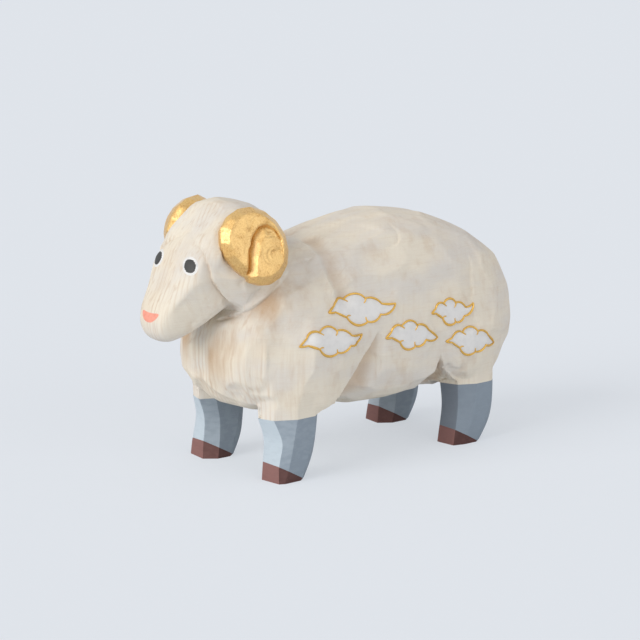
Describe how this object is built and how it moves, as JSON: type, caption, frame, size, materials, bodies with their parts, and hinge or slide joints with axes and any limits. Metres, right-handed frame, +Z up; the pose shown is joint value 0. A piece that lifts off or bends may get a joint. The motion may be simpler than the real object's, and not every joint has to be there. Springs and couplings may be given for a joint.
{
  "type": "sheep figurine",
  "caption": "Carved and painted wooden sheep that stands on its hooves as an ornament, with coiled golden horns and gold-outlined clouds on its flanks.",
  "frame": {"origin": "on the surface that the hooves stand on, under the middle of the sheep's length and width", "axes": "+Z up, +Y towards the rump, so the sheep looks along -Y; +X towards the sheep's own left"},
  "size_m": [0.0466, 0.1192, 0.0719],
  "materials": {
    "white_wood": "matt whitewash over bare grain",
    "blue_grey_wood": "matt mineral paint",
    "brown_wood": "matt mineral paint",
    "gilded_wood": "satin gold leaf",
    "dowel_wood": "bare",
    "white_gesso": "matt chalk gesso",
    "black_lacquer": "soft gloss",
    "coral_paint": "matt mineral paint",
    "gold_line": "gold powder on a raised gesso line"
  },
  "bodies": {
    "root": {"torso": "white_wood", "head": "white_wood", "neck_dowel": "dowel_wood", "horn_left": "gilded_wood", "horn_right": "gilded_wood", "horn_dowel_left": "dowel_wood", "horn_dowel_right": "dowel_wood", "leg_front_left": "blue_grey_wood", "leg_front_right": "blue_grey_wood", "leg_rear_left": "blue_grey_wood", "leg_rear_right": "blue_grey_wood", "hoof_front_left": "brown_wood", "hoof_front_right": "brown_wood", "hoof_rear_left": "brown_wood", "hoof_rear_right": "brown_wood", "leg_dowel_front_left": "dowel_wood", "leg_dowel_front_right": "dowel_wood", "leg_dowel_rear_left": "dowel_wood", "leg_dowel_rear_right": "dowel_wood", "eye_white_left": "white_gesso", "eye_white_right": "white_gesso", "pupil_left": "black_lacquer", "pupil_right": "black_lacquer", "nose": "coral_paint", "cloud_fill_left": "white_gesso", "cloud_fill_right": "white_gesso", "cloud_line_left": "gold_line", "cloud_line_right": "gold_line"}
  },
  "joints": []
}
